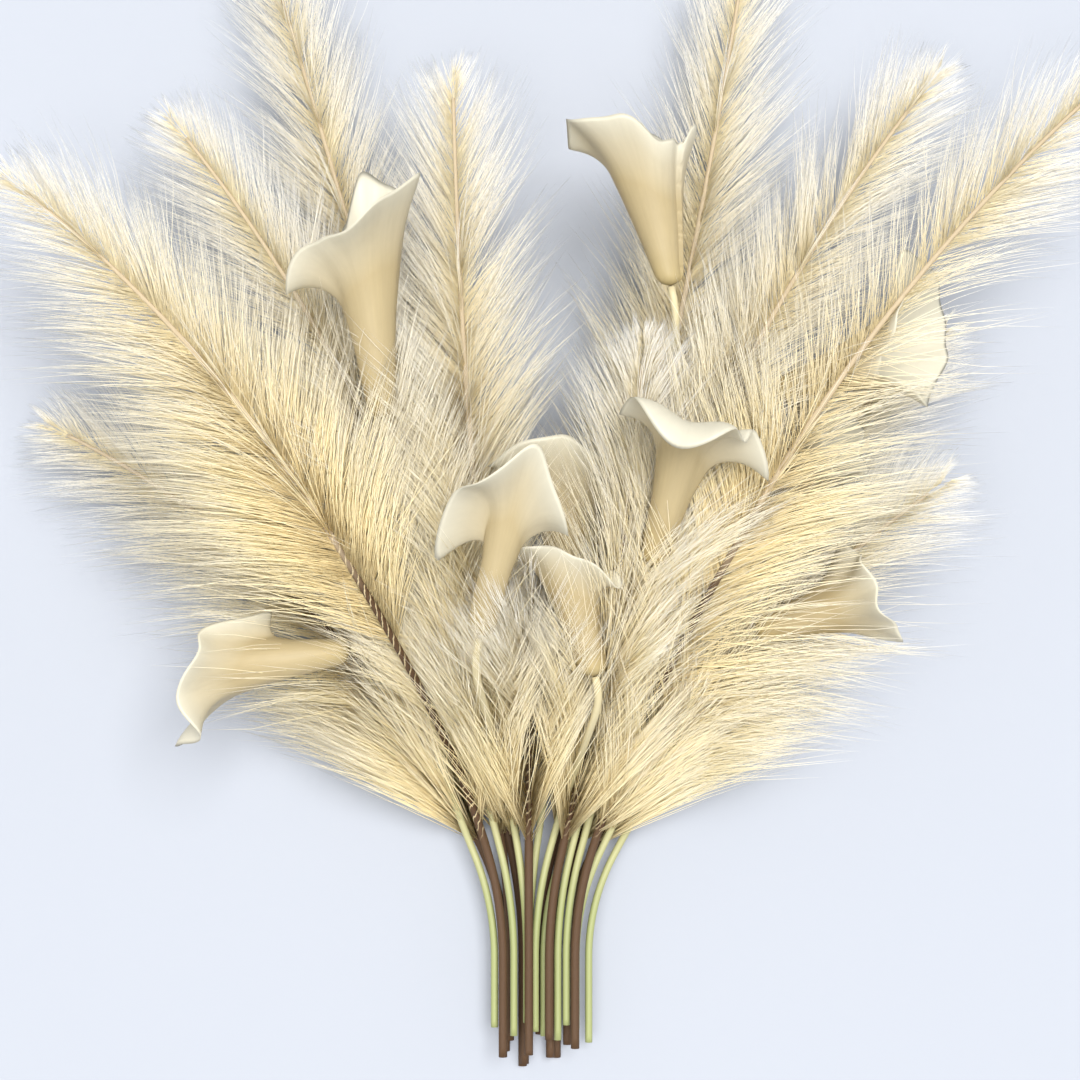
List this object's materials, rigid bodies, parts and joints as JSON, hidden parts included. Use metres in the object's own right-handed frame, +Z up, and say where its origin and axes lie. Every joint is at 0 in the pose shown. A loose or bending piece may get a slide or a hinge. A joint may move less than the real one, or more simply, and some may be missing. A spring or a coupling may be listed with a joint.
{
  "type": "bunch of reeds",
  "caption": "Loose bunch of long feathery reed plumes and cream calla lilies on thin stems, lying on a surface and fanned out from the cut ends.",
  "frame": {"origin": "centre of the bounding box at the surface the bunch lies on", "axes": "+Y from the cut stem ends towards the plume tips, +Z up from the surface, +X to the right of the bunch seen from above"},
  "size_m": [0.4837, 0.5199, 0.1784],
  "materials": {
    "plume_fibre": "soft fibre",
    "plume_stem": "matte",
    "calla_petal": "soft satin",
    "calla_spadix": "matte",
    "calla_stem": "matte"
  },
  "bodies": {
    "root": {"plume_stem_01": "plume_stem", "plume_fringe_01": "plume_fibre", "plume_stem_02": "plume_stem", "plume_fringe_02": "plume_fibre", "plume_stem_03": "plume_stem", "plume_fringe_03": "plume_fibre", "plume_stem_04": "plume_stem", "plume_fringe_04": "plume_fibre", "plume_stem_05": "plume_stem", "plume_fringe_05": "plume_fibre", "plume_stem_06": "plume_stem", "plume_fringe_06": "plume_fibre", "plume_stem_07": "plume_stem", "plume_fringe_07": "plume_fibre", "plume_stem_08": "plume_stem", "plume_fringe_08": "plume_fibre", "plume_stem_09": "plume_stem", "plume_fringe_09": "plume_fibre", "plume_stem_10": "plume_stem", "plume_fringe_10": "plume_fibre", "plume_stem_11": "plume_stem", "plume_fringe_11": "plume_fibre", "plume_stem_12": "plume_stem", "plume_fringe_12": "plume_fibre", "calla_stem_01": "calla_stem", "calla_spathe_01": "calla_petal", "calla_spadix_01": "calla_spadix", "calla_stem_02": "calla_stem", "calla_spathe_02": "calla_petal", "calla_spadix_02": "calla_spadix", "calla_stem_03": "calla_stem", "calla_spathe_03": "calla_petal", "calla_spadix_03": "calla_spadix", "calla_stem_04": "calla_stem", "calla_spathe_04": "calla_petal", "calla_spadix_04": "calla_spadix", "calla_stem_05": "calla_stem", "calla_spathe_05": "calla_petal", "calla_spadix_05": "calla_spadix", "calla_stem_06": "calla_stem", "calla_spathe_06": "calla_petal", "calla_spadix_06": "calla_spadix", "calla_stem_07": "calla_stem", "calla_spathe_07": "calla_petal", "calla_spadix_07": "calla_spadix", "calla_stem_08": "calla_stem", "calla_spathe_08": "calla_petal", "calla_spadix_08": "calla_spadix", "calla_stem_09": "calla_stem", "calla_spathe_09": "calla_petal", "calla_spadix_09": "calla_spadix", "calla_stem_10": "calla_stem", "calla_spathe_10": "calla_petal", "calla_spadix_10": "calla_spadix"}
  },
  "joints": []
}
